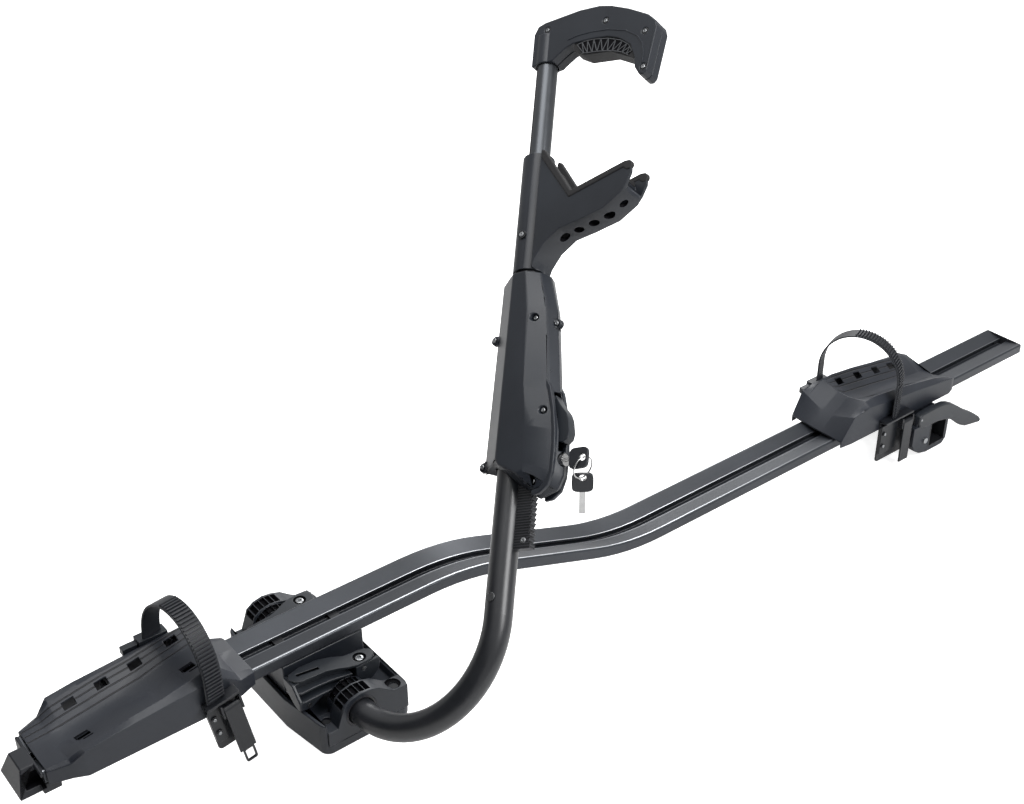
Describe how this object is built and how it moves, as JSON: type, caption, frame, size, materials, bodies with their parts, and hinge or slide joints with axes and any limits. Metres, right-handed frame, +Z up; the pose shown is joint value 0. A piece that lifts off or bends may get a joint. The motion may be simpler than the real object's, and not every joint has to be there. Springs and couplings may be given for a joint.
{
  "type": "roof mounted bike carrier",
  "caption": "Bent rail on a crossbar foot with wheel trays and straps, and a folding arm whose sliding hook and jaw grip a bicycle's frame tube.",
  "frame": {"origin": "the middle of the rubber seat under the front foot, straight below the arm's pivot axis", "axes": "+X along the rail towards its rear end, +Y away from the arm's side, +Z up"},
  "size_m": [1.457, 0.3943, 0.6526],
  "materials": {
    "rail_black": "satin",
    "tube_black": "satin",
    "plastic_black": "satin",
    "plastic_grey": "satin",
    "strap_black": "matte",
    "rubber_black": "matte",
    "steel": "satin",
    "dark_steel": "satin",
    "lock_metal": "polished"
  },
  "bodies": {
    "carrier": {"rail": "rail_black", "front_end_cap": "plastic_black", "rear_end_plate": "plastic_black", "foot_base": "plastic_black", "foot_pad": "rubber_black", "near_arm_block": "plastic_grey", "far_arm_block": "plastic_grey", "block_screws": "dark_steel", "arm_socket_bush": "plastic_black", "far_socket_plug": "plastic_black", "rail_bolts": "steel", "clamp_bolts": "steel", "clamp_nuts": "steel", "lever_pins": "steel", "front_tray": "plastic_black", "front_tray_bolts": "steel", "front_strap": "strap_black", "front_strap_clip": "plastic_black", "front_buckle": "plastic_black", "front_buckle_rivets": "steel"},
    "near_lever": {"near_clamp_lever": "plastic_black"},
    "far_lever": {"far_clamp_lever": "plastic_black"},
    "front_buckle_lever_body": {"front_buckle_lever": "plastic_black"},
    "rear_tray_unit": {"rear_tray": "plastic_black", "rear_tray_bolts": "steel", "rear_strap": "strap_black", "rear_strap_clip": "plastic_black", "rear_buckle": "plastic_black", "rear_buckle_rivets": "steel"},
    "rear_buckle_lever_body": {"rear_buckle_lever": "plastic_black"},
    "rear_clamp": {"rear_clamp_body": "plastic_black", "rear_clamp_band": "dark_steel", "rear_clamp_bolt": "steel", "rear_clamp_pin": "steel"},
    "rear_lever": {"rear_clamp_lever": "plastic_black"},
    "arm": {"arm_tube": "tube_black", "arm_retainer": "plastic_black", "tube_rivet": "dark_steel", "toothed_rack": "plastic_black", "rack_screws": "dark_steel", "jaw_body": "plastic_black", "jaw_pad": "rubber_black", "jaw_screw": "steel"},
    "slider": {"inner_tube": "tube_black", "hook_near": "plastic_black", "hook_far": "plastic_black", "hook_pad": "rubber_black", "hook_screws": "steel", "housing_near": "plastic_black", "housing_far": "plastic_black", "housing_screws": "steel", "guide_bushes": "plastic_grey", "slide_pin": "steel", "housing_pins": "steel"},
    "trigger": {"release_trigger": "plastic_grey"},
    "pawl": {"ratchet_pawl": "dark_steel"},
    "lock": {"lock_cylinder": "lock_metal", "key": "steel"},
    "spare": {"key_ring": "steel", "spare_key": "steel"}
  },
  "joints": [
    {"name": "arm_swing", "type": "hinge", "parent": "carrier", "child": "arm", "pos_m": [0, -0.08, 0.037], "axis": [0, 1, 0], "range_deg": [-40, 38]},
    {"name": "near_lever_turn", "type": "hinge", "parent": "carrier", "child": "near_lever", "pos_m": [0.024, -0.056, 0.057], "axis": [0, 1, 0], "range_deg": [0, 100]},
    {"name": "far_lever_turn", "type": "hinge", "parent": "carrier", "child": "far_lever", "pos_m": [0.024, 0.056, 0.057], "axis": [0, 1, 0], "range_deg": [0, 100]},
    {"name": "front_buckle_open", "type": "hinge", "parent": "carrier", "child": "front_buckle_lever_body", "pos_m": [-0.11965, -0.055, 0.08103], "axis": [-0.9848, 0, -0.1736], "range_deg": [0, 75]},
    {"name": "rear_tray_slide", "type": "slide", "parent": "carrier", "child": "rear_tray_unit", "axis": [1, 0, 0], "range_m": [-0.1, 0]},
    {"name": "rear_buckle_open", "type": "hinge", "parent": "rear_tray_unit", "child": "rear_buckle_lever_body", "pos_m": [0.861, -0.055, 0.003], "axis": [-1, 0, 0], "range_deg": [0, 75]},
    {"name": "rear_clamp_slide", "type": "slide", "parent": "carrier", "child": "rear_clamp", "axis": [1, 0, 0], "range_m": [0, 0.1]},
    {"name": "rear_lever_turn", "type": "hinge", "parent": "rear_clamp", "child": "rear_lever", "pos_m": [0.892, -0.0556, -0.004], "axis": [0, -1, 0], "range_deg": [0, 90]},
    {"name": "clamp_slide", "type": "slide", "parent": "arm", "child": "slider", "axis": [-0.5547, -0.5592, -0.6161], "range_m": [0, 0.088]},
    {"name": "trigger_press", "type": "hinge", "parent": "slider", "child": "trigger", "pos_m": [0.23619, -0.10068, 0.29932], "axis": [0.7431, 0, -0.6691], "range_deg": [0, 8], "stiffness_Nm_per_rad": 0.12, "springref_deg": -5.73},
    {"name": "pawl_lift", "type": "hinge", "parent": "slider", "child": "pawl", "pos_m": [0.24467, -0.08369, 0.30873], "axis": [-0.7431, 0, 0.6691], "range_deg": [0, 5]},
    {"name": "key_turn", "type": "hinge", "parent": "slider", "child": "lock", "pos_m": [0.20815, -0.14764, 0.26818], "axis": [0.3742, -0.829, 0.4156], "range_deg": [0, 90]},
    {"name": "spare_key_swing", "type": "hinge", "parent": "lock", "child": "spare", "pos_m": [0.21545, -0.1638, 0.27628], "axis": [0, 1, 0], "range_deg": [-4, 10]}
  ],
  "couplings": [
    {"joint": "pawl_lift", "follows": "trigger_press", "ratio": 0.6}
  ]
}
